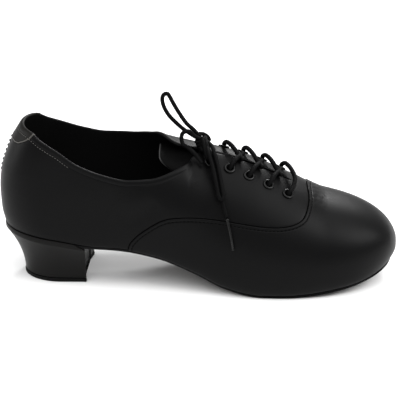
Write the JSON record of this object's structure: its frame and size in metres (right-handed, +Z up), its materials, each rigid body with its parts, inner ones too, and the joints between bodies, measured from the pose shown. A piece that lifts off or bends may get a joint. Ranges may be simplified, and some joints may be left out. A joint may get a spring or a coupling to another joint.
{
  "type": "ballroom dance shoe",
  "caption": "Black leather men's lace-up dance shoe with a covered Cuban heel, thin flexible sole, closed throat and a loose lace bow; the right one of a pair.",
  "frame": {"origin": "on the floor, at the middle of the heel's top lift", "axes": "+X from heel to toe, +Y to the inner (medial) side of the foot, +Z up"},
  "size_m": [0.2925, 0.098, 0.1387],
  "materials": {
    "black_leather": "smooth, soft sheen",
    "black_lining": "matt lining",
    "sole_leather": "dark sueded sole",
    "heel_cover": "smooth, soft sheen",
    "black_rubber": "matt",
    "black_metal": "black enamel",
    "black_braid": "round braided cord",
    "clear_tip": "glossy"
  },
  "bodies": {
    "root": {"upper": "black_leather", "tongue": "black_leather", "insole": "black_lining", "outsole": "sole_leather", "heel": "heel_cover", "heel_top_lift": "black_rubber", "eyelet_lateral_1": "black_metal", "eyelet_lateral_2": "black_metal", "eyelet_lateral_3": "black_metal", "eyelet_lateral_4": "black_metal", "eyelet_lateral_5": "black_metal", "eyelet_medial_1": "black_metal", "eyelet_medial_2": "black_metal", "eyelet_medial_3": "black_metal", "eyelet_medial_4": "black_metal", "eyelet_medial_5": "black_metal", "lace_crossing_2": "black_braid", "lace_crossing_3": "black_braid", "lace_crossing_4": "black_braid", "lace_bar": "black_braid", "lace_lead_lateral": "black_braid", "lace_lead_medial": "black_braid", "lace_knot": "black_braid", "lace_loop_up": "black_braid", "lace_loop_down": "black_braid", "lace_end_short": "black_braid", "lace_end_long": "black_braid", "lace_tip": "clear_tip"}
  },
  "joints": []
}
